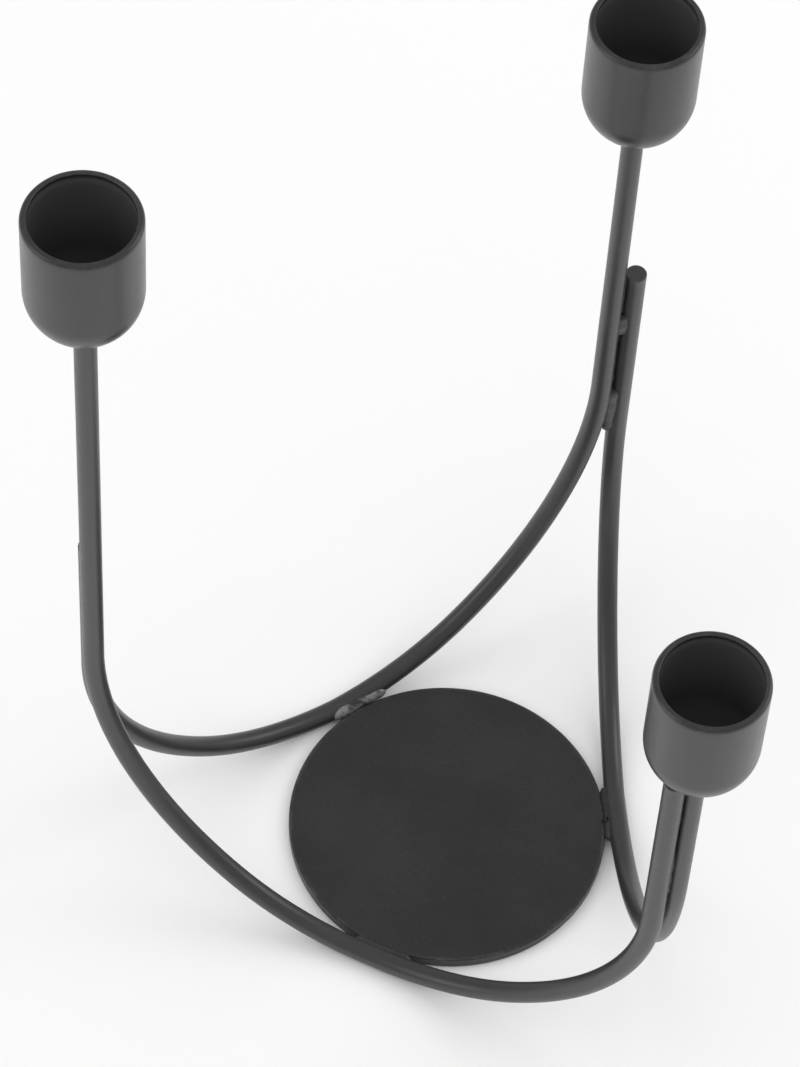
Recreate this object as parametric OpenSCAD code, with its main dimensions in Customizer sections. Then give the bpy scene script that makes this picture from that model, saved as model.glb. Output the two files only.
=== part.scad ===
// Tabletop candelabra: three bent steel rods welded round a small disc base, each with a taper cup.
// Units are millimetres. +Z is up and z = 0 is the table.
// The origin is the centre of the disc's underside.
// Each rod is a flat U. Its bottom touches the disc edge, its long arm carries a cup and its
// short arm stands beside the next rod's long arm, where two weld spots hold the pair.

/* [Base] */
// Diameter of the base disc
base_d = 80; // [74:1:86]
// Thickness of the base disc
base_t = 3.2; // [2.4:0.1:4.2]
// Chamfer on the disc's two edges
base_chamfer = 0.4; // [0.2:0.1:0.8]

/* [Rods] */
// Diameter of the round rod with its coating
rod_d = 5.2; // [4.2:0.1:5.4]
// Distance from the lowest point of each U to its long arm's axis
long_span = 75.4; // [62.8:0.2:90.6]
// Gap between a short arm and the long arm that it stands beside
arm_gap = 0.25; // [0.1:0.05:0.6]
// Radius of the flat curve at the bottom of each U
bottom_radius = 62; // [52:1:68]
// Angle that the bottom curve covers to each side of the lowest point
bottom_angle = 37; // [28:1:40]
// Height of the low rod's cut short end above the table
low_short_top = 134; // [112:1:160]
// Height of the middle rod's cut short end above the table
middle_short_top = 129.5; // [112:0.5:162]
// Gap between the tall rod's cut short end and the underside of the low cup
short_end_gap = 1.4; // [1.2:0.1:24]
// Gap that the weld fills between the rod and the disc edge
edge_gap = 0.5; // [0.3:0.1:0.8]
// Height of the rods' lowest line above the table
rod_lift = 0.2; // [0.1:0.1:1]

/* [Heights] */
// Height of the tall cup's rim above the table
tall_height = 259; // [236:1:290]
// Height of the middle cup's rim above the table
middle_height = 228; // [208:1:254]
// Height of the low cup's rim above the table
low_height = 177; // [176:1:196]

/* [Placing of the rods] */
// Direction in which the middle rod's bottom lies, seen from above, where the low rod's is 0
middle_turn = 118.6; // [116.6:0.2:120.6]
// Direction in which the tall rod's bottom lies, seen from above
tall_turn = 241.8; // [239.8:0.2:243.8]
// Side of the middle rod's long arm on which the low rod's short arm stands, in degrees
low_side = 257; // [250:1:264]
// Side of the tall rod's long arm on which the middle rod's short arm stands
middle_side = 211; // [204:1:218]
// Side of the low rod's long arm on which the tall rod's short arm stands
tall_side = 203.7; // [196.7:1:210.7]
// How far the low U's lowest point lies from the disc's centre line, towards its short arm
low_shift = 5.7; // [3.7:0.1:7.7]
// How far the middle U's lowest point lies from the disc's centre line
middle_shift = 6.5; // [4.5:0.1:8.5]
// How far the tall U's lowest point lies from the disc's centre line, here towards its long arm
tall_shift = -1.4; // [-3.4:0.1:0.6]

/* [Cups] */
// Bore of the candle cup, for a 22 mm taper
bore_d = 23; // [19:0.5:24]
// Wall of the candle cup
cup_wall = 1.6; // [1:0.1:2.2]
// Straight depth of the cup above its rounded bottom
cup_straight = 23.4; // [16:0.2:30]
// Chamfer on the rim's inner and outer edges
rim_chamfer = 0.3; // [0.1:0.1:0.5]

/* [Welds] */
// Length of the weld that joins each rod to the disc
base_weld_length = 16; // [10:1:22]
// Radius of that weld's bead
base_weld_r = 1.9; // [1.4:0.1:2.4]
// Length of each upper weld spot between two arms
upper_weld_length = 7; // [4:1:12]
// Length of each lower weld spot between two arms
lower_weld_length = 7.5; // [5:0.5:8]
// Radius of that spot's bead
post_weld_r = 1.55; // [1.3:0.05:1.9]
// How far below the start of the long arm's upright stretch the lower weld spots are
lower_weld_drop = 6.7; // [3:0.1:8]
// How far below the short arm's cut end the upper weld spots are
upper_weld_drop = 18; // [8:1:24]
// Width of the fillet weld under each cup
cup_weld_w = 1.1; // [0.6:0.1:1.6]

/* [Hidden] */
$fn = 72;

paint = [0.09, 0.09, 0.095];
bead = [0.16, 0.16, 0.17];
rod_r = rod_d / 2;
base_r = base_d / 2;
cup_r = bore_d / 2 + cup_wall;
// distance of each rod's vertical plane from the centre, and height of its lowest axis point
plane_r = base_r + edge_gap + rod_r;
axis_z = rod_lift + rod_r;
// where the bottom curve ends and the side curves begin
join_u = bottom_radius * sin(bottom_angle);
join_z = axis_z + bottom_radius * (1 - cos(bottom_angle));
// each curve stops this short of its ends, where a sleeve takes it to the next one
end_gap = 0.3;
sleeve_r = rod_r + 0.02;
// the sleeve at the lowest point is wider, because the short side splays from there
bottom_sleeve_r = rod_r + 0.07;
sleeve_h = 1.2;
// one row per rod: direction, shift, rim height, and then for its short arm the height of the
// cut end, the direction and shift of the rod that it stands beside, and the side it stands on
TALL = [tall_turn, tall_shift, tall_height,
    low_height - cup_straight - cup_r - short_end_gap, 0, low_shift, tall_side];
MIDDLE = [middle_turn, middle_shift, middle_height,
    middle_short_top, tall_turn, tall_shift, middle_side];
LOW = [0, low_shift, low_height, low_short_top, middle_turn, middle_shift, low_side];

// a side curve runs from the bottom curve's end to upright, span out from the lowest point
function side_radius(span) = (span - join_u) / (1 - sin(bottom_angle));
function side_z(span) = join_z + side_radius(span) * cos(bottom_angle);
// a point of a rod's plane seen from above: out from the centre, and along towards the long arm
function place(row, out, along) =
    [out * cos(row[0]) + along * sin(row[0]), out * sin(row[0]) - along * cos(row[0])];
function long_arm(row) = place(row, plane_r, long_span - row[1]);
// the long arm that the row's short arm stands beside, and the short arm a gap away from it
function neighbour(row) = place([row[4]], plane_r, long_span - row[5]);
function short_arm(row) =
    neighbour(row) + (rod_d + arm_gap) * [cos(row[4] + row[6]), sin(row[4] + row[6])];
// so the short side has its own span, and splays outward from the rod's plane by a small angle
function reach(row) = short_arm(row) - place(row, plane_r, -row[1]);
function short_span(row) = norm(reach(row));
function splay(row) =
    atan2(reach(row) * [cos(row[0]), sin(row[0])], reach(row) * [-sin(row[0]), cos(row[0])]);
function lower_weld_z() = side_z(long_span) - lower_weld_drop;
function upper_weld_z(row) = row[3] - upper_weld_drop;
// height of the underside of a cup
function cup_bottom(row) = row[2] - cup_straight - cup_r;

// puts a U drawn in the XZ plane, long arm to +X, into a rod's place
module on_rod(row) {
    rotate([0, 0, row[0]])
        translate([plane_r, row[1], 0])
            rotate([0, 0, -90])
                children();
}

// an arc of rod in the XZ plane about [u, z], from angle a0 through sweep, measured from +X
module rod_arc(u, z, radius, a0, sweep) {
    short = end_gap / radius * 180 / PI;
    translate([u, 0, z])
        rotate([90, 0, 0])
            rotate([0, 0, a0 + short])
                rotate_extrude(angle = sweep - 2 * short)
                    translate([radius, 0])
                        circle(r = rod_r);
}

// a sleeve over the joint of two curves at [u, z], where the rod is lean degrees from upright
module sleeve(u, z, lean, r) {
    translate([u, 0, z])
        rotate([0, lean, 0])
            cylinder(r = r, h = sleeve_h, center = true);
}

// one side of a U, on the +X side: half the bottom curve, side curve, arm and their sleeves
module u_side(span, top) {
    rod_arc(0, axis_z + bottom_radius, bottom_radius, 270, bottom_angle);
    side_curve(span);
    upright(span, top);
    sleeve(join_u, join_z, 90 - bottom_angle, sleeve_r);
    sleeve(span, side_z(span), 0, sleeve_r);
}

module side_curve(span) {
    rod_arc(span - side_radius(span), side_z(span), side_radius(span), 270 + bottom_angle, 90 - bottom_angle);
}

module upright(span, top) {
    translate([span, 0, side_z(span) + end_gap])
        cylinder(r = rod_r, h = top - side_z(span) - end_gap);
}

module long_side(row) {
    on_rod(row)
        u_side(long_span, cup_bottom(row) + 1);
}

// turns what is drawn for the long side into the short side, splayed outward a little
module on_short_side(row) {
    on_rod(row)
        rotate([0, 0, -splay(row)])
            mirror([1, 0, 0])
                children();
}

module short_side(row) {
    on_short_side(row)
        u_side(short_span(row), row[3]);
}

module u_rod(row) {
    difference() {
        union() {
            long_side(row);
            short_side(row);
            on_rod(row)
                sleeve(0, axis_z, 90, bottom_sleeve_r);
        }
        // the long arm's end is coped to the round underside of the cup
        translate([long_arm(row)[0], long_arm(row)[1], cup_bottom(row) + cup_r])
            sphere(r = cup_r);
    }
}

module half_ball(r) {
    rotate_extrude()
        intersection() {
            circle(r = r);
            translate([0, -r])
                square([r, r]);
        }
}

module cup(row) {
    inner_r = bore_d / 2;
    translate([long_arm(row)[0], long_arm(row)[1], cup_bottom(row) + cup_r])
        difference() {
            union() {
                half_ball(cup_r);
                cylinder(r = cup_r, h = cup_straight - rim_chamfer);
                translate([0, 0, cup_straight - rim_chamfer])
                    cylinder(r1 = cup_r, r2 = cup_r - rim_chamfer, h = rim_chamfer);
            }
            half_ball(inner_r);
            cylinder(r = inner_r, h = cup_straight - rim_chamfer);
            translate([0, 0, cup_straight - rim_chamfer])
                cylinder(r1 = inner_r, r2 = inner_r + rim_chamfer, h = rim_chamfer);
        }
}

module disc(extra) {
    rotate_extrude()
        polygon([[0, 0], [base_r - base_chamfer, 0], [base_r + extra, base_chamfer],
            [base_r + extra, base_t - base_chamfer], [base_r - base_chamfer, base_t], [0, base_t]]);
}

// a bead with round ends, length long in all, lying along +X and centred
module bead_x(r, length) {
    translate([-length / 2 + r, 0, 0])
        rotate([0, 90, 0])
            cylinder(r = r, h = length - 2 * r);
    for (side = [0, 180])
        rotate([0, 0, side])
            translate([length / 2 - r, 0, 0])
                rotate([0, 90, 0])
                    rotate([180, 0, 0])
                        half_ball(r);
}

// the weld in the groove between the rod's bottom and the disc's upper edge
module base_weld(row) {
    difference() {
        rotate([0, 0, row[0]])
            translate([base_r + 0.7, 0, base_t + 0.9])
                rotate([0, 0, 90])
                    bead_x(base_weld_r, base_weld_length);
        disc(0);
        // one arc of the bottom curve, wide enough for the sleeve at its lowest point
        on_rod(row)
            translate([0, 0, axis_z + bottom_radius])
                rotate([90, 0, 0])
                    rotate([0, 0, 270 - bottom_angle / 2])
                        rotate_extrude(angle = bottom_angle)
                            translate([bottom_radius, 0])
                                circle(r = bottom_sleeve_r);
    }
}

// a straight stretch of a side around the height z, leaning with its curve below upright
module side_at(span, z, length) {
    radius = side_radius(span);
    lean = asin(max(0, side_z(span) - z) / radius);
    translate([span - radius * (1 - cos(lean)), 0, z])
        rotate([0, lean, 0])
            translate([0, 0, -length])
                cylinder(r = rod_r + 0.02, h = 2 * length);
}

// a weld spot at height z in the groove between a short arm and the long arm beside it,
// on the side that faces the middle of the candelabra
module post_weld(row, z, length) {
    a = short_arm(row);
    b = neighbour(row);
    mid = (a + b) / 2;
    across = (b - a) / norm(b - a);
    inward = [across[1], -across[0]] * (across[1] * mid[0] - across[0] * mid[1] > 0 ? -1 : 1);
    spot = mid + inward * (rod_r * 0.36);
    difference() {
        translate([spot[0], spot[1], z])
            rotate([0, 90, 0])
                bead_x(post_weld_r, length);
        on_short_side(row)
            side_at(short_span(row), z, length);
        on_rod([row[4], row[5]])
            side_at(long_span, z, length);
    }
}

// a ring of weld with a hollow face, where the long arm meets its cup
module cup_weld(row) {
    low = cup_bottom(row) - cup_weld_w + 0.2;
    translate([long_arm(row)[0], long_arm(row)[1], 0])
        difference() {
            translate([0, 0, low])
                cylinder(r1 = rod_r + 0.15, r2 = rod_r + cup_weld_w + 0.35, h = cup_weld_w + 0.35);
            translate([0, 0, low - 1])
                cylinder(r = rod_r, h = 5);
            translate([0, 0, cup_bottom(row) + cup_r])
                sphere(r = cup_r);
        }
}

module base_plate() { color(paint) disc(0); }
module rod_tall() { color(paint) u_rod(TALL); }
module rod_middle() { color(paint) u_rod(MIDDLE); }
module rod_low() { color(paint) u_rod(LOW); }
module cup_tall() { color(paint) cup(TALL); }
module cup_middle() { color(paint) cup(MIDDLE); }
module cup_low() { color(paint) cup(LOW); }
module base_weld_tall() { color(bead) base_weld(TALL); }
module base_weld_middle() { color(bead) base_weld(MIDDLE); }
module base_weld_low() { color(bead) base_weld(LOW); }
// a post weld takes the name of the rod whose short arm it holds
module upper_weld_tall() { color(bead) post_weld(TALL, upper_weld_z(TALL), upper_weld_length); }
module upper_weld_middle() { color(bead) post_weld(MIDDLE, upper_weld_z(MIDDLE), upper_weld_length); }
module upper_weld_low() { color(bead) post_weld(LOW, upper_weld_z(LOW), upper_weld_length); }
module lower_weld_tall() { color(bead) post_weld(TALL, lower_weld_z(), lower_weld_length); }
module lower_weld_middle() { color(bead) post_weld(MIDDLE, lower_weld_z(), lower_weld_length); }
module lower_weld_low() { color(bead) post_weld(LOW, lower_weld_z(), lower_weld_length); }
module cup_weld_tall() { color(bead) cup_weld(TALL); }
module cup_weld_middle() { color(bead) cup_weld(MIDDLE); }
module cup_weld_low() { color(bead) cup_weld(LOW); }

base_plate();
rod_tall();
rod_middle();
rod_low();
cup_tall();
cup_middle();
cup_low();
base_weld_tall();
base_weld_middle();
base_weld_low();
upper_weld_tall();
upper_weld_middle();
upper_weld_low();
lower_weld_tall();
lower_weld_middle();
lower_weld_low();
cup_weld_tall();
cup_weld_middle();
cup_weld_low();
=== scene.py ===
import math

import bpy
import numpy as np
from mathutils import Matrix, Vector


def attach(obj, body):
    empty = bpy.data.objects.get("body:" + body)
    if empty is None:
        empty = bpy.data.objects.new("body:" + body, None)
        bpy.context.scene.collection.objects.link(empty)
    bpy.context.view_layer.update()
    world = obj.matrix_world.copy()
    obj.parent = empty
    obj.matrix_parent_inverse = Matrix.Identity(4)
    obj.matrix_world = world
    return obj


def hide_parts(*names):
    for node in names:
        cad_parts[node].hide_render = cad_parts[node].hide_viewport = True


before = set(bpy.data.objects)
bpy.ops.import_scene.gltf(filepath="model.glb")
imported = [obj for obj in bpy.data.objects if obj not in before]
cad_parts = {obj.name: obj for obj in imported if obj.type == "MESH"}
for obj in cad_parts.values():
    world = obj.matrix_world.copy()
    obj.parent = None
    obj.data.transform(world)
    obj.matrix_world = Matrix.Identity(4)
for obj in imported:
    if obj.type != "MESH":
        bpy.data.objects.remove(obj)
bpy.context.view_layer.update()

# Tabletop candelabra: three bent steel rods welded round a disc base, each rod carrying a
# taper cup. Everything is powder coated black, welds included. Metres, in the part's frame.
BODY = "root"

# The part's own sizes, in metres. Each rod is a flat U: a wide curve at the bottom, two
# tighter curves, and two upright arms. The long arm carries the cup.
BASE_R, BASE_T, BASE_EDGE = 0.040, 0.0032, 0.00045
ROD_R = 0.0026
PLANE_R = BASE_R + 0.0005 + ROD_R      # distance of a rod's plane from the centre
AXIS_Z = 0.0002 + ROD_R                # height of the rod's lowest axis point
BOTTOM_R, BOTTOM_ANGLE = 0.062, math.radians(37)
LONG_SPAN = 0.0754
ARM_GAP = 0.00025
BORE_R, CUP_WALL, CUP_STRAIGHT = 0.0115, 0.0016, 0.0234
CUP_R = BORE_R + CUP_WALL
LOWER_WELD_Z, UPPER_WELD_DROP = 0.085, 0.018
UPPER_WELD_LENGTH, LOWER_WELD_LENGTH = 0.007, 0.0075
BASE_WELD_LENGTH = 0.016

# name: direction of the U's bottom, its shift along the plane, rim height, short arm's top
RODS = {
    "tall": (math.radians(241.8), -0.0014, 0.259, 0.1391),
    "middle": (math.radians(118.6), 0.0065, 0.228, 0.1295),
    "low": (0.0, 0.0057, 0.177, 0.134),
}
# each rod's short arm stands beside the long arm of another one, on this side of it
NEIGHBOUR = {"tall": ("low", math.radians(203.7)), "middle": ("tall", math.radians(211)),
             "low": ("middle", math.radians(257))}


# ---------------------------------------------------------------- camera, floor and light

def point_camera():
    """Looks down on the table from in front, with the frame's slight tilt."""
    turn, down, tilt = math.radians(-7.79), math.radians(55.96), math.radians(4.04)
    spin = Matrix.Rotation(turn, 3, "Z")
    forward = spin @ Vector((0, math.cos(down), -math.sin(down)))
    right = spin @ Vector((1, 0, 0))
    up = spin @ Vector((0, math.sin(down), math.cos(down)))
    x = right * math.cos(tilt) + up * math.sin(tilt)
    y = up * math.cos(tilt) - right * math.sin(tilt)
    place = spin @ Vector((-0.01704, 0.08864, 0)) - forward * 1.24804
    lens = bpy.data.cameras.new("camera")
    lens.sensor_width = 36
    lens.lens = 159.8
    lens.clip_end = 60
    camera = bpy.data.objects.new("camera", lens)
    camera.matrix_world = Matrix((
        (x.x, y.x, -forward.x, place.x),
        (x.y, y.y, -forward.y, place.y),
        (x.z, y.z, -forward.z, place.z),
        (0, 0, 0, 1)))
    bpy.context.scene.collection.objects.link(camera)
    bpy.context.scene.camera = camera


def soft_light(name, place, size, watts, seen_in_gloss=True):
    """A big flat light that faces the object's middle."""
    lamp = bpy.data.lights.new(name, "AREA")
    lamp.shape = "RECTANGLE"
    lamp.size, lamp.size_y = size
    lamp.energy = watts
    holder = bpy.data.objects.new(name, lamp)
    holder.location = place
    way = Vector((0, 0, 0.08)) - Vector(place)
    holder.rotation_euler = way.to_track_quat("-Z", "Y").to_euler()
    holder.visible_glossy = seen_in_gloss
    bpy.context.scene.collection.objects.link(holder)


def light_studio():
    """A dim room over a bright table: flat faces stay deep, upright ones mirror the table."""
    world = bpy.data.worlds.new("dim_room")
    world.use_nodes = True
    air = world.node_tree.nodes["Background"]
    air.inputs["Color"].default_value = (1.0, 1.0, 1.0, 1)
    air.inputs["Strength"].default_value = 0.4
    bpy.context.scene.world = world
    bpy.context.scene.view_settings.view_transform = "Standard"
    soft_light("overhead", (-0.1, 0.1, 2.8), (7.0, 7.0), 134, seen_in_gloss=False)
    soft_light("side_right", (2.1, 0.5, 1.5), (1.2, 1.6), 9)
    soft_light("side_left", (-2.2, -0.5, 1.3), (1.2, 1.6), 7)


# ---------------------------------------------------------------- shader groups

def group_tree(name, kind, inputs, outputs):
    """A node group with named sockets, and its input and output nodes."""
    tree = bpy.data.node_groups.new(name, kind)
    for label, socket, value in inputs:
        made = tree.interface.new_socket(name=label, in_out="INPUT", socket_type=socket)
        if value is not None:
            made.default_value = value
    for label, socket in outputs:
        tree.interface.new_socket(name=label, in_out="OUTPUT", socket_type=socket)
    return tree, tree.nodes.new("NodeGroupInput"), tree.nodes.new("NodeGroupOutput")


def feed(tree, socket, value):
    """Gives a node's input a value, or links a socket to it."""
    if isinstance(value, bpy.types.NodeSocket):
        tree.links.new(value, socket)
    else:
        socket.default_value = value


def add(tree, kind, settings=None, **inputs):
    """A node with its properties and inputs; an underscore in an input's name is a space."""
    node = tree.nodes.new(kind)
    for key, value in (settings or {}).items():
        setattr(node, key, value)
    for key, value in inputs.items():
        feed(tree, node.inputs[key.replace("_", " ")], value)
    return node


def maths(tree, operation, *terms, clamp=False):
    node = add(tree, "ShaderNodeMath", {"operation": operation, "use_clamp": clamp})
    for socket, term in zip(node.inputs, terms):
        feed(tree, socket, term)
    return node.outputs[0]


def speckle(tree, place, size, detail=2.0, rough=0.5):
    """Noise whose features are about size metres across, from 0 to 1."""
    known = not isinstance(size, bpy.types.NodeSocket)
    scale = 1.0 / size if known else maths(tree, "DIVIDE", 1.0, size)
    return add(tree, "ShaderNodeTexNoise", None, Vector=place, Scale=scale, Detail=detail,
               Roughness=rough).outputs["Fac"]


def blend_colours(tree, factor, a, b):
    """From colour a at 0 to colour b at 1."""
    node = tree.nodes.new("ShaderNodeMix")
    node.data_type = "RGBA"
    # inputs 6 and 7 and output 2 are the colour ones
    for number, value in ((0, factor), (6, a), (7, b)):
        feed(tree, node.inputs[number], value)
    return node.outputs[2]


def spread(tree, value, low, high, to_low, to_high, smooth=False):
    """Takes the range low to high to the range to_low to to_high."""
    kind = "SMOOTHSTEP" if smooth else "LINEAR"
    return add(tree, "ShaderNodeMapRange", {"interpolation_type": kind}, Value=value, From_Min=low,
               From_Max=high, To_Min=to_low, To_Max=to_high).outputs["Result"]


def mark(tree, name):
    """A mask that the mesh carries."""
    return add(tree, "ShaderNodeAttribute", {"attribute_name": name}).outputs["Fac"]


def set_relief(tree, shader, strength, distance, height):
    relief = add(tree, "ShaderNodeBump", None, Strength=strength, Distance=distance, Height=height)
    tree.links.new(relief.outputs["Normal"], shader.inputs["Normal"])


def powder_coat_group():
    """Satin powder coat: fine baked grain, a slight orange peel and faint uneven patches."""
    tree, start, end = group_tree("powder_coat", "ShaderNodeTree", [
        ("Place", "NodeSocketVector", None),
        ("Deep", "NodeSocketColor", (0.012, 0.012, 0.0125, 1)),
        ("Lit", "NodeSocketColor", (0.030, 0.030, 0.031, 1)),
        ("Grain size", "NodeSocketFloat", 0.00035),
        ("Peel size", "NodeSocketFloat", 0.0014),
        ("Satin", "NodeSocketFloat", 0.42),
        ("Dull", "NodeSocketFloat", 0.56),
    ], [("Colour", "NodeSocketColor"), ("Roughness", "NodeSocketFloat"),
        ("Height", "NodeSocketFloat")])
    s = start.outputs
    grain = speckle(tree, s["Place"], s["Grain size"], 2.5, 0.6)
    peel = speckle(tree, s["Place"], s["Peel size"], 1.0, 0.4)
    patch = speckle(tree, s["Place"], 0.021, 3.0, 0.55)
    mix = maths(tree, "MULTIPLY_ADD", grain, 0.6, maths(tree, "MULTIPLY", patch, 0.4))
    shade = spread(tree, mix, 0.38, 0.64, 0.0, 1.0, True)
    tree.links.new(blend_colours(tree, shade, s["Deep"], s["Lit"]), end.inputs["Colour"])
    dullness = maths(tree, "MULTIPLY_ADD", patch, 0.5, maths(tree, "MULTIPLY", peel, 0.5))
    tree.links.new(spread(tree, dullness, 0.35, 0.65, s["Satin"], s["Dull"]),
                   end.inputs["Roughness"])
    height = maths(tree, "MULTIPLY_ADD", peel, 0.62, maths(tree, "MULTIPLY", grain, 0.38))
    tree.links.new(height, end.inputs["Height"])
    return tree


def edge_rub_group():
    """Where handling has polished an edge: a broken-up band that follows the rub mask."""
    tree, start, end = group_tree("edge_rub", "ShaderNodeTree", [
        ("Place", "NodeSocketVector", None),
        ("Mask", "NodeSocketFloat", 0.0),
        ("Break size", "NodeSocketFloat", 0.0012),
        ("Amount", "NodeSocketFloat", 0.5),
    ], [("Rub", "NodeSocketFloat")])
    s = start.outputs
    broken = speckle(tree, s["Place"], s["Break size"], 4.0, 0.65)
    wide = speckle(tree, s["Place"], 0.009, 1.0, 0.5)
    both = maths(tree, "MULTIPLY_ADD", wide, 0.45, maths(tree, "MULTIPLY", broken, 0.55))
    cut = spread(tree, both, 0.44, 0.62, 0.15, 1.0, True)
    rub = maths(tree, "MULTIPLY", maths(tree, "MULTIPLY", cut, s["Mask"]), s["Amount"], clamp=True)
    tree.links.new(rub, end.inputs["Rub"])
    return tree


def dust_group():
    """A few light specks of dust, thicker on what faces up."""
    tree, start, end = group_tree("settled_dust", "ShaderNodeTree", [
        ("Place", "NodeSocketVector", None),
        ("Speck size", "NodeSocketFloat", 0.0016),
        ("Amount", "NodeSocketFloat", 0.3),
    ], [("Dust", "NodeSocketFloat")])
    s = start.outputs
    scale = maths(tree, "DIVIDE", 1.0, s["Speck size"])
    cells = add(tree, "ShaderNodeTexVoronoi", {"feature": "F1"}, Vector=s["Place"], Scale=scale)
    dot = spread(tree, cells.outputs["Distance"], 0.05, 0.16, 1.0, 0.0, True)
    chance = add(tree, "ShaderNodeSeparateColor", None, Color=cells.outputs["Color"]).outputs[0]
    kept = maths(tree, "GREATER_THAN", chance, 0.72)
    way = add(tree, "ShaderNodeNewGeometry")
    up = add(tree, "ShaderNodeSeparateXYZ", None, Vector=way.outputs["Normal"]).outputs["Z"]
    lying = spread(tree, up, 0.2, 1.0, 0.05, 1.0, True)
    dust = maths(tree, "MULTIPLY", maths(tree, "MULTIPLY", dot, kept),
                 maths(tree, "MULTIPLY", lying, s["Amount"]), clamp=True)
    tree.links.new(dust, end.inputs["Dust"])
    return tree


def weld_skin_group():
    """Coated weld metal: coarse, with small pits and spatter, paler on its high spots."""
    tree, start, end = group_tree("weld_skin", "ShaderNodeTree", [
        ("Place", "NodeSocketVector", None),
        ("Ripple", "NodeSocketFloat", 0.5),
        ("Coarse size", "NodeSocketFloat", 0.0009),
        ("Bareness", "NodeSocketFloat", 0.5),
    ], [("High spots", "NodeSocketFloat"), ("Height", "NodeSocketFloat")])
    s = start.outputs
    coarse = speckle(tree, s["Place"], s["Coarse size"], 4.0, 0.62)
    fine = speckle(tree, s["Place"], 0.00028, 2.0, 0.5)
    scale = maths(tree, "DIVIDE", 0.7, s["Coarse size"])
    cells = add(tree, "ShaderNodeTexVoronoi", {"feature": "F1"}, Vector=s["Place"], Scale=scale)
    pits = spread(tree, cells.outputs["Distance"], 0.08, 0.34, 0.0, 1.0, True)
    height = maths(tree, "MULTIPLY_ADD", coarse, 0.55,
                   maths(tree, "MULTIPLY_ADD", pits, 0.25, maths(tree, "MULTIPLY", fine, 0.2)))
    tree.links.new(height, end.inputs["Height"])
    raised = maths(tree, "MULTIPLY_ADD", coarse, 0.93, maths(tree, "MULTIPLY", s["Ripple"], 0.07))
    tree.links.new(maths(tree, "MULTIPLY", spread(tree, raised, 0.42, 0.66, 0.0, 1.0, True),
                         s["Bareness"], clamp=True), end.inputs["High spots"])
    return tree


POWDER_COAT = powder_coat_group()
EDGE_RUB = edge_rub_group()
SETTLED_DUST = dust_group()
WELD_SKIN = weld_skin_group()


def use_group(tree, group, **inputs):
    return add(tree, "ShaderNodeGroup", {"node_tree": group}, **inputs).outputs


def blank_material(name):
    material = bpy.data.materials.new(name)
    material.use_nodes = True
    tree = material.node_tree
    for node in list(tree.nodes):
        tree.nodes.remove(node)
    shader = tree.nodes.new("ShaderNodeBsdfPrincipled")
    result = tree.nodes.new("ShaderNodeOutputMaterial")
    tree.links.new(shader.outputs[0], result.inputs["Surface"])
    return material, tree, shader


def place_of(tree, shift=(0, 0, 0)):
    """Object coordinates, moved so that no two pieces show the same patches."""
    where = tree.nodes.new("ShaderNodeTexCoord").outputs["Object"]
    return add(tree, "ShaderNodeMapping", None, Vector=where, Location=shift).outputs["Vector"]


def coated(name, shift, deep, lit, satin, dull, grain, peel, bump, rub, dust, ior):
    """The black powder coat on plain metal, with its rubbed edges and dust, and painted light inside
    a bore.
    """
    material, tree, shader = blank_material(name)
    place = place_of(tree, shift)
    coat = use_group(tree, POWDER_COAT, Place=place, Deep=(*deep, 1), Lit=(*lit, 1), Satin=satin,
                     Dull=dull, Grain_size=grain, Peel_size=peel)
    worn = use_group(tree, EDGE_RUB, Place=place, Mask=mark(tree, "rub"), Amount=rub)["Rub"]
    specks = use_group(tree, SETTLED_DUST, Place=place, Amount=dust)["Dust"]
    # painted light: inside a bore the coat is lightened to a grey, standing in for the light that
    # falls into it
    colour = blend_colours(tree, mark(tree, "hollow"), coat["Colour"], (0.078, 0.078, 0.079, 1))
    colour = blend_colours(tree, worn, colour, (0.085, 0.085, 0.088, 1))
    colour = blend_colours(tree, specks, colour, (0.34, 0.33, 0.32, 1))
    tree.links.new(colour, shader.inputs["Base Color"])
    tree.links.new(spread(tree, worn, 0.0, 1.0, coat["Roughness"], 0.30),
                   shader.inputs["Roughness"])
    set_relief(tree, shader, bump, 0.00012, coat["Height"])
    shader.inputs["IOR"].default_value = ior
    return material


def coated_weld(name, shift, bareness, coarse, satin, dull, bump):
    """The same coat over weld metal: thinner, shinier and rougher."""
    material, tree, shader = blank_material(name)
    place = place_of(tree, shift)
    coat = use_group(tree, POWDER_COAT, Place=place, Satin=satin, Dull=dull, Grain_size=0.0003,
                     Peel_size=0.0009, Deep=(0.014, 0.014, 0.015, 1), Lit=(0.036, 0.036, 0.038, 1))
    skin = use_group(tree, WELD_SKIN, Place=place, Ripple=mark(tree, "ripple"),
                     Coarse_size=coarse, Bareness=bareness)
    colour = blend_colours(tree, skin["High spots"], coat["Colour"], (0.27, 0.27, 0.28, 1))
    tree.links.new(colour, shader.inputs["Base Color"])
    tree.links.new(spread(tree, skin["High spots"], 0.0, 1.0, coat["Roughness"], 0.27),
                   shader.inputs["Roughness"])
    bare = maths(tree, "MULTIPLY", skin["High spots"], 0.45)
    tree.links.new(bare, shader.inputs["Metallic"])
    height = maths(tree, "MULTIPLY_ADD", skin["Height"], 0.8,
                   maths(tree, "MULTIPLY", coat["Height"], 0.2))
    set_relief(tree, shader, bump, 0.0004, height)
    shader.inputs["IOR"].default_value = 1.5
    return material


def floor_material():
    material, tree, shader = blank_material("pale_table_paint")
    place = place_of(tree)
    faint = speckle(tree, place, 0.35, 3.0, 0.5)
    fine = speckle(tree, place, 0.004, 2.0, 0.5)
    tree.links.new(blend_colours(tree, faint, (0.90, 0.90, 0.90, 1), (0.93, 0.93, 0.93, 1)),
                   shader.inputs["Base Color"])
    shader.inputs["Roughness"].default_value = 0.85
    shader.inputs["Specular IOR Level"].default_value = 0.2
    set_relief(tree, shader, 0.04, 0.0002, fine)
    return material


# ---------------------------------------------------------------- meshes

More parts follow.
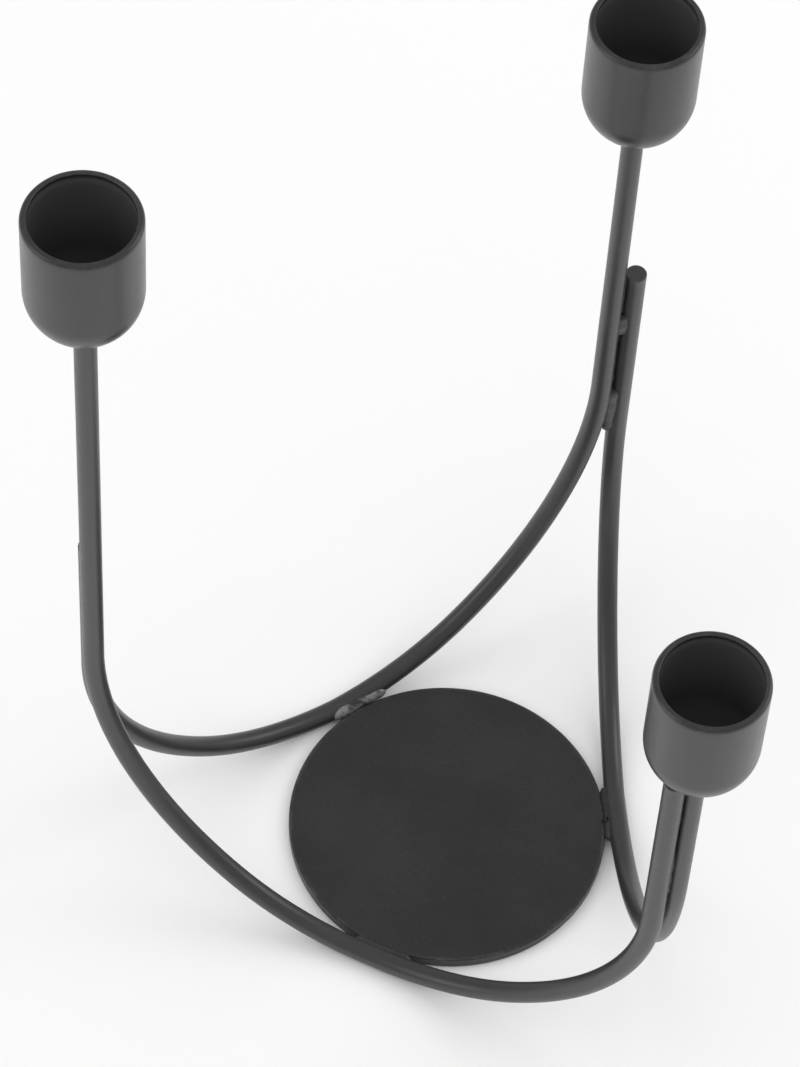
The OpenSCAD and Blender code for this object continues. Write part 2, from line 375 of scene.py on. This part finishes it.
def piece_from(name, mesh, node, material=None):
    """A finished piece that stands for one CAD node."""
    piece = bpy.data.objects.new(name, mesh)
    bpy.context.scene.collection.objects.link(piece)
    if material is not None:
        mesh.materials.clear()
        mesh.materials.append(material)
    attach(piece, BODY)
    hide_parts(node)
    return piece


def rounding(centre, radius, first, last, steps):
    """Points of an arc in a turned profile, angles in degrees."""
    for i in range(steps + 1):
        a = math.radians(first + (last - first) * i / steps)
        yield centre[0] + radius * math.cos(a), centre[1] + radius * math.sin(a)


def store(mesh, name, values):
    """Keeps a value for each point of a mesh."""
    layer = mesh.attributes.new(name, "FLOAT", "POINT")
    layer.data.foreach_set("value", np.array(values, np.float32))


def turned(name, centre, profile, segments):
    """A closed solid of revolution. The profile runs from the lower pole outwards and up,
    as (radius, height, rub, bore light); a radius of 0 makes a pole, and the fourth value is 1
    inside a bore, where it paints light onto the dark coat."""
    angles = np.linspace(0, 2 * math.pi, segments, endpoint=False)
    ring = np.stack([np.cos(angles), np.sin(angles)], axis=1)
    points, rub, hollow, starts = [], [], [], []
    for r, z, mask, *inside in profile:
        starts.append((len(points), r > 0))
        rows = ring * r if r > 0 else np.zeros((1, 2))
        points.extend((centre[0] + x, centre[1] + y, centre[2] + z) for x, y in rows)
        rub.extend([mask] * len(rows))
        hollow.extend([inside[0] if inside else 0.0] * len(rows))
    faces = []
    for (a, a_ring), (b, b_ring) in zip(starts, starts[1:]):
        for i in range(segments):
            j = (i + 1) % segments
            if a_ring and b_ring:
                faces.append((a + i, a + j, b + j, b + i))
            elif b_ring:
                faces.append((a, b + j, b + i))
            else:
                faces.append((a + i, a + j, b))
    mesh = bpy.data.meshes.new(name)
    mesh.from_pydata(points, [], faces)
    mesh.shade_smooth()
    store(mesh, "rub", rub)
    store(mesh, "hollow", hollow)
    mesh.update()
    return mesh


def strand(name, points, girth, closed=False):
    """A line of points for the sweeping trees, with its girth at each point."""
    n = len(points)
    mesh = bpy.data.meshes.new(name)
    edges = [(i, i + 1) for i in range(n - 1)] + ([(n - 1, 0)] if closed else [])
    mesh.from_pydata([tuple(p) for p in points], edges, [])
    store(mesh, "girth", girth)
    return mesh


def grow(name, line, tree, inputs):
    """Runs a tree on a line and returns the plain mesh that it makes."""
    holder = bpy.data.objects.new(name + "_line", line)
    bpy.context.scene.collection.objects.link(holder)
    growing = holder.modifiers.new("sweep", "NODES")
    growing.node_group = tree
    ids = {i.name: i.identifier for i in tree.interface.items_tree if i.in_out == "INPUT"}
    for label, value in inputs.items():
        growing[ids[label]] = value
    bpy.context.view_layer.update()
    graph = bpy.context.evaluated_depsgraph_get()
    mesh = bpy.data.meshes.new_from_object(
        holder.evaluated_get(graph), preserve_all_data_layers=True, depsgraph=graph)
    holder.modifiers.remove(growing)
    bpy.data.objects.remove(holder)
    bpy.data.meshes.remove(line)
    mesh.name = name
    return mesh


# ---------------------------------------------------------------- Geometry Nodes trees

def named(tree, name):
    node = tree.nodes.new("GeometryNodeInputNamedAttribute")
    node.data_type = "FLOAT"
    node.inputs["Name"].default_value = name
    return node.outputs["Attribute"]


def keep_value(tree, geometry, name, value):
    node = add(tree, "GeometryNodeStoreNamedAttribute", {"data_type": "FLOAT", "domain": "POINT"},
               Geometry=geometry, Value=value)
    node.inputs["Name"].default_value = name
    return node.outputs["Geometry"]


def push_out(tree, geometry, distance):
    """Moves each point along its normal."""
    way = tree.nodes.new("GeometryNodeInputNormal").outputs["Normal"]
    offset = add(tree, "ShaderNodeVectorMath", {"operation": "SCALE"}, Vector=way, Scale=distance)
    return add(tree, "GeometryNodeSetPosition", None, Geometry=geometry,
               Offset=offset.outputs["Vector"]).outputs["Geometry"]


def lumps(tree, size, seed, amount):
    """Seeded noise from minus half the amount to plus half of it."""
    place = tree.nodes.new("GeometryNodeInputPosition").outputs["Position"]
    noise = add(tree, "ShaderNodeTexNoise", {"noise_dimensions": "4D"}, Vector=place, W=seed,
                Scale=maths(tree, "DIVIDE", 1.0, size), Detail=2.0)
    return maths(tree, "MULTIPLY", maths(tree, "SUBTRACT", noise.outputs["Fac"], 0.5), amount)


def sweep(tree, line, sides, radius):
    """A closed skin of this radius along a line, thicker or thinner with the line's girth.
    Each of its points keeps its place round the ring as around."""
    line = add(tree, "GeometryNodeSetCurveRadius", None, Curve=line,
               Radius=named(tree, "girth")).outputs[0]
    ring = add(tree, "GeometryNodeCurvePrimitiveCircle", {"mode": "RADIUS"}, Resolution=sides,
               Radius=radius).outputs["Curve"]
    place = tree.nodes.new("GeometryNodeSplineParameter").outputs["Factor"]
    ring = keep_value(tree, ring, "around", place)
    skin = add(tree, "GeometryNodeCurveToMesh", None, Curve=line, Profile_Curve=ring,
               Fill_Caps=True)
    if "Scale" in skin.inputs:
        feed(tree, skin.inputs["Scale"], named(tree, "girth"))
    return skin.outputs["Mesh"]


def finish_tree(tree, geometry, material, end):
    smooth = add(tree, "GeometryNodeSetShadeSmooth", None, Geometry=geometry).outputs[0]
    real = add(tree, "GeometryNodeRealizeInstances", None, Geometry=smooth).outputs[0]
    painted = add(tree, "GeometryNodeSetMaterial", None, Geometry=real, Material=material)
    tree.links.new(painted.outputs[0], end.inputs["Geometry"])


def round_bar_tree():
    """A round bar along a line, its coating a little uneven in thickness."""
    tree, start, end = group_tree("round_bar", "GeometryNodeTree", [
        ("Geometry", "NodeSocketGeometry", None),
        ("Bar radius", "NodeSocketFloat", ROD_R),
        ("Sides", "NodeSocketInt", 36),
        ("Coat swell", "NodeSocketFloat", 0.00003),
        ("Swell size", "NodeSocketFloat", 0.009),
        ("Seed", "NodeSocketFloat", 1.0),
        ("Material", "NodeSocketMaterial", None),
    ], [("Geometry", "NodeSocketGeometry")])
    s = start.outputs
    line = add(tree, "GeometryNodeMeshToCurve", None, Mesh=s["Geometry"]).outputs[0]
    bar = sweep(tree, line, s["Sides"], s["Bar radius"])
    skin = push_out(tree, bar, lumps(tree, s["Swell size"], s["Seed"], s["Coat swell"]))
    finish_tree(tree, skin, s["Material"], end)
    return tree


def weld_bead_tree():
    """A weld bead along a line: crescent ripples like fallen coins, rounded ends and lumps."""
    tree, start, end = group_tree("weld_bead", "GeometryNodeTree", [
        ("Geometry", "NodeSocketGeometry", None),
        ("Bead radius", "NodeSocketFloat", 0.0018),
        ("Sides", "NodeSocketInt", 40),
        ("Step", "NodeSocketFloat", 0.00016),
        ("Ripple pitch", "NodeSocketFloat", 0.0013),
        ("Ripple height", "NodeSocketFloat", 0.0002),
        ("Crescent", "NodeSocketFloat", 0.6),
        ("Rounded ends", "NodeSocketFloat", 1.0),
        ("Lump height", "NodeSocketFloat", 0.0004),
        ("Lump size", "NodeSocketFloat", 0.0016),
        ("Seed", "NodeSocketFloat", 1.0),
        ("Material", "NodeSocketMaterial", None),
    ], [("Geometry", "NodeSocketGeometry")])
    s = start.outputs
    line = add(tree, "GeometryNodeMeshToCurve", None, Mesh=s["Geometry"]).outputs[0]
    line = add(tree, "GeometryNodeResampleCurve", {"mode": "LENGTH"}, Curve=line,
               Length=s["Step"]).outputs[0]
    run = tree.nodes.new("GeometryNodeSplineParameter")
    line = keep_value(tree, line, "along", run.outputs["Length"])
    # the ends close like a dome: the square root of 1 minus the seventh power
    off_middle = maths(tree, "MULTIPLY_ADD", run.outputs["Factor"], 2.0, -1.0)
    off_middle = maths(tree, "POWER", maths(tree, "ABSOLUTE", off_middle), 7.0)
    left = maths(tree, "MAXIMUM", maths(tree, "SUBTRACT", 1.0, off_middle), 0.0004)
    dome = maths(tree, "SUBTRACT", maths(tree, "SQRT", left), 1.0)
    ends = maths(tree, "MULTIPLY_ADD", s["Rounded ends"], dome, 1.0)
    line = keep_value(tree, line, "girth", maths(tree, "MULTIPLY", ends, named(tree, "girth")))
    bead = sweep(tree, line, s["Sides"], s["Bead radius"])
    # ripples: the phase lags towards the bead's two sides, which bends each one into a crescent
    twice_round = maths(tree, "MULTIPLY", named(tree, "around"), 4 * math.pi)
    lag = maths(tree, "MULTIPLY", maths(tree, "COSINE", twice_round), s["Crescent"])
    turns = maths(tree, "DIVIDE", named(tree, "along"), s["Ripple pitch"])
    turns = maths(tree, "ADD", turns, lag)
    wave = maths(tree, "ABSOLUTE", maths(tree, "SINE", maths(tree, "MULTIPLY", turns, math.pi)))
    crest = maths(tree, "POWER", wave, 0.6)
    shape = keep_value(tree, bead, "ripple", crest)
    lift = maths(tree, "MULTIPLY", maths(tree, "SUBTRACT", crest, 0.75), s["Ripple height"])
    rise = maths(tree, "ADD", lift, lumps(tree, s["Lump size"], s["Seed"], s["Lump height"]))
    rise = maths(tree, "MULTIPLY", rise, maths(tree, "MINIMUM", named(tree, "girth"), 1.0))
    finish_tree(tree, push_out(tree, shape, rise), s["Material"], end)
    return tree


# ---------------------------------------------------------------- where the rods run

def seen_from_above(rod, out, along):
    """A place out from the centre and along towards the long arm, in a rod's direction."""
    turn = RODS[rod][0]
    return (out * math.cos(turn) + along * math.sin(turn),
            out * math.sin(turn) - along * math.cos(turn))


def cup_bottom(rod):
    return RODS[rod][2] - CUP_STRAIGHT - CUP_R


def half_u(span, top, step):
    """One half of a U as (distance from its lowest point, height), bottom to top."""
    join_u = BOTTOM_R * math.sin(BOTTOM_ANGLE)
    join_z = AXIS_Z + BOTTOM_R * (1 - math.cos(BOTTOM_ANGLE))
    side_r = (span - join_u) / (1 - math.sin(BOTTOM_ANGLE))
    side_z = join_z + side_r * math.cos(BOTTOM_ANGLE)
    points = []
    n = max(2, round(BOTTOM_R * BOTTOM_ANGLE / step))
    for i in range(n):
        a = BOTTOM_ANGLE * i / n
        points.append((BOTTOM_R * math.sin(a), AXIS_Z + BOTTOM_R * (1 - math.cos(a))))
    sweep = math.pi / 2 - BOTTOM_ANGLE
    n = max(2, round(side_r * sweep / step))
    for i in range(n):
        a = BOTTOM_ANGLE + sweep * i / n
        points.append((span - side_r * (1 - math.sin(a)), side_z - side_r * math.cos(a)))
    n = max(2, round((top - side_z) / (2 * step)))
    points += [(span, side_z + (top - side_z) * i / n) for i in range(n + 1)]
    return points


def arm_pair(rod):
    """The axes, seen from above, of a rod's short arm and of the long arm beside it."""
    other, side = NEIGHBOUR[rod]
    turn, shift = RODS[other][:2]
    b = Vector(seen_from_above(other, PLANE_R, LONG_SPAN - shift))
    away = Vector((math.cos(turn + side), math.sin(turn + side)))
    return b + away * (2 * ROD_R + ARM_GAP), b


def short_reach(rod):
    """How far the short arm stands from the U's lowest point, and its splay outward."""
    turn, shift = RODS[rod][:2]
    reach = arm_pair(rod)[0] - Vector(seen_from_above(rod, PLANE_R, -shift))
    outward = Vector((math.cos(turn), math.sin(turn)))
    sideways = Vector((-math.sin(turn), math.cos(turn)))
    return reach.length, math.atan2(reach.dot(outward), reach.dot(sideways))


def on_rod(rod, u, z, side):
    """A point of a rod's axis, u out from its lowest point."""
    shift = RODS[rod][1]
    if side == "long":
        return Vector((*seen_from_above(rod, PLANE_R, u - shift), z))
    splay = short_reach(rod)[1]
    out, along = PLANE_R + u * math.sin(splay), -u * math.cos(splay) - shift
    return Vector((*seen_from_above(rod, out, along), z))


def rod_line(rod):
    """The whole rod's axis from the short arm's cut end to the cup, with its girth."""
    step, into_cup, edge = 0.0015, 0.0009, 0.00035
    short = [on_rod(rod, u, z, "short")
             for u, z in half_u(short_reach(rod)[0], RODS[rod][3], step)]
    long = [on_rod(rod, u, z, "long")
            for u, z in half_u(LONG_SPAN, cup_bottom(rod) + into_cup, step)]
    tip, below = short[-1], short[-2]
    way = (tip - below).normalized()
    # the sawn end: a flat face with a narrow rounded edge
    sawn = [(tip - way * 0.0012, 1.0), (tip - way * 0.0006, 1.0)]
    for i in range(6):
        a = math.radians(90 * i / 5)
        sawn.append((tip - way * edge * (1 - math.sin(a)), 1 - edge / ROD_R * (1 - math.cos(a))))
    sawn += [(tip + way * 0.0000004 * k, g) for k, g in ((1, 0.78), (2, 0.45), (3, 0.03))]
    inner = [p for p in short[:-1] if (tip - p).length > 0.002]
    points = [p for p, _ in reversed(sawn)] + list(reversed(inner)) + long[1:]
    girth = [g for _, g in reversed(sawn)] + [1.0] * (len(inner) + len(long) - 1)
    return points, girth


# ---------------------------------------------------------------- the pieces

def make_base(material):
    """The cut disc, its two edges softened by the coat."""
    r, t, e = BASE_R, BASE_T, BASE_EDGE
    inner = [0.4, 0.75, 0.9, 0.97]
    # out along the underside, round the lower edge, up, round the upper edge and back in
    profile = [(0, 0, 0)] + [(r * k, 0, 0) for k in inner] + [(r - e - 0.0004, 0, 0.1)]
    profile += [(x, z, 0.75) for x, z in rounding((r - e, e), e, -90, 0, 6)]
    profile += [(r, e + 0.0003, 0.15), (r, t - e - 0.0003, 0.15)]
    profile += [(x, z, 1.0) for x, z in rounding((r - e, t - e), e, 0, 90, 6)]
    profile += [(r - e - 0.0004, t, 0.25)]
    profile += [(r * k, t, 0) for k in reversed(inner)] + [(0, t, 0)]
    mesh = turned("base_disc", (0, 0, 0), profile, 224)
    piece_from("base_disc", mesh, "base_plate", material)


def make_rod(rod, tree, material, seed):
    """A bent bar, its coat rubbed thin on the edge of the sawn end."""
    points, girth = rod_line(rod)
    mesh = grow("bar_" + rod, strand("bar_line", points, girth), tree, {
        "Bar radius": ROD_R - 0.00002, "Sides": 40, "Coat swell": 0.00004, "Swell size": 0.007,
        "Seed": float(seed), "Material": material})
    co = np.zeros(len(mesh.vertices) * 3)
    mesh.vertices.foreach_get("co", co)
    far = np.linalg.norm(co.reshape(-1, 3) - np.array(points[0]), axis=1)
    store(mesh, "rub", np.clip(1.1 - np.abs(far - ROD_R) / 0.0006, 0, 1))
    piece_from("bar_" + rod, mesh, "rod_" + rod)


def make_cup(rod, material):
    """A deep cup with a round bottom, turned in one go, inside and out, with a soft lip.
    Heights are above the centre of the round bottom."""
    top, step, groove, bead = CUP_STRAIGHT, 0.0009, 0.00012, 0.0003
    x, y = seen_from_above(rod, PLANE_R, LONG_SPAN - RODS[rod][1])
    profile = [(0, -CUP_R, 0)]
    profile += [(CUP_R * math.sin(a), -CUP_R * math.cos(a), 0)
                for a in (math.radians(90 * i / 28) for i in range(1, 29))]
    profile += [(CUP_R, top * k, 0) for k in (0.1, 0.35, 0.6, 0.85)]
    profile += [(CUP_R, top - step - 0.0004, 0.2)]
    # the outer edge is turned to a wide soft chamfer, the inner one to a small bead
    profile += [(CUP_R - 0.00002, top - step, 0.5), (CUP_R - 0.00012, top - 0.6 * step, 0.8),
                (CUP_R - 0.00032, top - 0.25 * step, 1.0), (CUP_R - 0.00058, top - 0.06 * step, 0.9),
                (CUP_R - 0.00078, top, 0.6)]
    profile += [(r, z, 0.9) for r, z in rounding((BORE_R + bead, top - bead), bead, 90, 180, 6)]
    # below the bead the bore has a fine turned groove; from there down, the fourth value ramps up
    # the painted light inside the bore
    profile += [(BORE_R, top - 0.0006, 0.4, 0.2), (BORE_R + groove, top - 0.0008, 0.1, 0.5),
                (BORE_R + groove, top - 0.0016, 0, 0.9), (BORE_R, top - 0.0019, 0, 1)]
    profile += [(BORE_R, top * k, 0, 1) for k in (0.85, 0.6, 0.35, 0.1)]
    profile += [(BORE_R * math.sin(a), -BORE_R * math.cos(a), 0, 1)
                for a in (math.radians(90 * i / 24) for i in range(24, 0, -1))]
    profile += [(0, -BORE_R, 0, 1)]
    mesh = turned("cup_shell_" + rod, (x, y, cup_bottom(rod) + CUP_R), profile, 144)
    piece_from("cup_shell_" + rod, mesh, "cup_" + rod, material)


def dent(mesh, place, width, depth):
    """Presses a small pit into a weld, towards the weld's inside."""
    for v in mesh.vertices:
        near = (v.co - Vector(place)).length / width
        if near < 2.2:
            v.co -= v.normal * depth * math.exp(-near * near * 1.6)


def make_base_weld(rod, tree, material, seed, pit=None, climb=0.0):
    """The bead in the groove between the disc's upper edge and the rod. It can climb a little
    up the rod, and have a pit at a place along it."""
    shift = RODS[rod][1]
    half = BASE_WELD_LENGTH / 2
    points, girth = [], []
    for i in range(41):
        y = -half + 2 * half * i / 40
        edge = math.sqrt(BASE_R ** 2 - y ** 2)
        lift = BOTTOM_R - math.sqrt(BOTTOM_R ** 2 - (y - shift) ** 2)
        x, y2 = seen_from_above(rod, edge * 0.4 + BASE_R * 0.6 + 0.0011 + climb, -y)
        points.append((x, y2, BASE_T - 0.0003 + 0.4 * lift + climb * 0.8))
        girth.append(1.0 + 0.04 * math.sin(1.7 * i / 4 + seed) - 0.03 * math.cos(i / 3 + seed))
    mesh = grow("base_bead_" + rod, strand("bead_line", points, girth), tree, {
        "Bead radius": 0.00165 + climb * 0.2, "Sides": 48, "Step": 0.00014, "Ripple pitch": 0.0019,
        "Ripple height": 0.00001, "Crescent": 0.5, "Lump height": 0.0002, "Lump size": 0.0032,
        "Seed": float(seed), "Rounded ends": 1.0, "Material": material})
    if pit:
        x, y = seen_from_above(rod, BASE_R - 0.0002, pit)
        dent(mesh, (x, y, BASE_T + 0.0011), 0.0008, 0.0010)
    piece_from("base_bead_" + rod, mesh, "base_weld_" + rod)


def make_post_weld(rod, which, z, length, tree, material, seed, groove_shade_fill=0.0, web=0.0):
    """A weld spot that bridges two arms almost flush, on the side that faces the middle.
    With a groove shade fill, a thin sunk dark run goes on up the groove from it as painted shade,
    standing in for the shade in that groove; a web goes on below."""
    a, b = arm_pair(rod)
    middle, across = (a + b) / 2, (b - a).normalized()
    inward = -(middle - across * middle.dot(across)).normalized()
    points, girth = [], []
    steps = 16 + round((groove_shade_fill + web) / 0.0008)
    for i in range(steps + 1):
        h = z - length / 2 - web + (length + groove_shade_fill + web) * i / steps
        # 1 in the spot itself, 0 in the painted-shade fill of the groove above it, a little less
        # than 1 in the web below
        full = 1 - min(1.0, max(0.0, (h - z - length * 0.36) / 0.0016))
        full = full * full * (3 - 2 * full)
        full *= 1 - 0.15 * min(1.0, max(0.0, (z - length * 0.4 - h) / 0.003))
        out = ROD_R * (0.3 * full + 0.03 * math.sin(i * 0.7 + seed) - 0.1 * (1 - full))
        spot = middle + inward * out
        points.append((spot.x, spot.y, h))
        girth.append((0.45 + 0.55 * full) * (1.0 + 0.04 * math.sin(i * 0.9 + seed)))
    name = which + "_bead_" + rod
    mesh = grow(name, strand("bead_line", points, girth), tree, {
        "Bead radius": 0.00135, "Sides": 44, "Step": 0.00014, "Ripple pitch": 0.0012,
        "Ripple height": 0.00002, "Crescent": 0.3, "Lump height": 0.0002, "Lump size": 0.0034,
        "Seed": float(seed), "Rounded ends": 1.0, "Material": material})
    # the weld is flat and wide: it reaches from the front of one arm to the front of the other
    for v in mesh.vertices:
        sideways = (v.co.xy - middle).dot(across)
        v.co.xy += across * sideways * 0.75
    mesh.update()
    piece_from(name, mesh, which + "_weld_" + rod)


def make_cup_weld(rod, tree, material, seed):
    """The ring of weld under a cup, round the rod's top."""
    x, y = seen_from_above(rod, PLANE_R, LONG_SPAN - RODS[rod][1])
    z = cup_bottom(rod) - 0.00005
    points, girth, steps = [], [], 64
    for i in range(steps):
        a = 2 * math.pi * i / steps
        r = 0.00318 + 0.00008 * math.sin(3 * a + seed)
        h = z + 0.00006 * math.cos(2 * a + seed)
        points.append((x + r * math.cos(a), y + r * math.sin(a), h))
        girth.append(1.0 + 0.07 * math.sin(2 * a + seed))
    mesh = grow("cup_bead_" + rod, strand("bead_line", points, girth, closed=True), tree, {
        "Bead radius": 0.00088, "Sides": 28, "Step": 0.00012, "Ripple pitch": 0.0009,
        "Ripple height": 0.00003, "Crescent": 0.2, "Lump height": 0.00016, "Lump size": 0.0016,
        "Seed": float(seed), "Rounded ends": 0.0, "Material": material})
    piece_from("cup_bead_" + rod, mesh, "cup_weld_" + rod)


def make_floor():
    """A wide round table top at z = 0."""
    n, reach = 48, 9.0
    ring = [(reach * math.cos(2 * math.pi * i / n), reach * math.sin(2 * math.pi * i / n), 0)
            for i in range(n)]
    mesh = bpy.data.meshes.new("pale_floor")
    mesh.from_pydata(ring, [], [tuple(range(n))])
    mesh.materials.append(floor_material())
    floor = bpy.data.objects.new("pale_floor", mesh)
    bpy.context.scene.collection.objects.link(floor)


# ---------------------------------------------------------------- build

point_camera()
light_studio()
make_floor()

disc_coat = coated(
    "disc_coat", shift=(0.3, 0.1, 0.2), deep=(0.015, 0.015, 0.0155), lit=(0.024, 0.024, 0.025),
    satin=0.36, dull=0.44, grain=0.00036, peel=0.0015, bump=0.12, rub=0.5, dust=0.08, ior=1.5)
bar_coat = coated(
    "bar_coat", shift=(0.7, 0.4, 0.1), deep=(0.019, 0.019, 0.0195), lit=(0.029, 0.029, 0.030),
    satin=0.33, dull=0.40, grain=0.00034, peel=0.0014, bump=0.07, rub=0.4, dust=0.05, ior=1.72)
cup_coat = coated(
    "cup_coat", shift=(0.2, 0.8, 0.5), deep=(0.013, 0.013, 0.0135), lit=(0.021, 0.021, 0.022),
    satin=0.29, dull=0.34, grain=0.00036, peel=0.0015, bump=0.03, rub=0.25, dust=0.04, ior=1.64)
bright_weld = coated_weld("bright_weld_coat", shift=(0.1, 0.1, 0.4), bareness=0.95,
                          coarse=0.0040, satin=0.26, dull=0.34, bump=0.10)
plain_weld = coated_weld("plain_weld_coat", shift=(0.5, 0.2, 0.4), bareness=0.03,
                         coarse=0.0016, satin=0.32, dull=0.40, bump=0.08)
base_weld_coat = coated_weld("base_weld_coat", shift=(0.4, 0.6, 0.2), bareness=0.03,
                             coarse=0.0018, satin=0.34, dull=0.42, bump=0.08)

round_bar = round_bar_tree()
weld_bead = weld_bead_tree()

make_base(disc_coat)
for number, rod in enumerate(RODS):
    make_rod(rod, round_bar, bar_coat, 3 + number)
    make_cup(rod, cup_coat)
    make_cup_weld(rod, weld_bead, plain_weld, 21 + number)
    make_post_weld(rod, "upper", RODS[rod][3] - UPPER_WELD_DROP, UPPER_WELD_LENGTH, weld_bead,
                   plain_weld, 31 + number)
    # the lower weld carries a dark run up the groove between the arms: painted shade for that groove
    make_post_weld(rod, "lower", LOWER_WELD_Z, LOWER_WELD_LENGTH, weld_bead, plain_weld,
                   41 + number, groove_shade_fill=0.018, web=0.010 if rod == "low" else 0.0)
make_base_weld("tall", weld_bead, base_weld_coat, 5)
make_base_weld("middle", weld_bead, bright_weld, 6, climb=0.0004)
make_base_weld("low", weld_bead, base_weld_coat, 7, pit=0.0021)
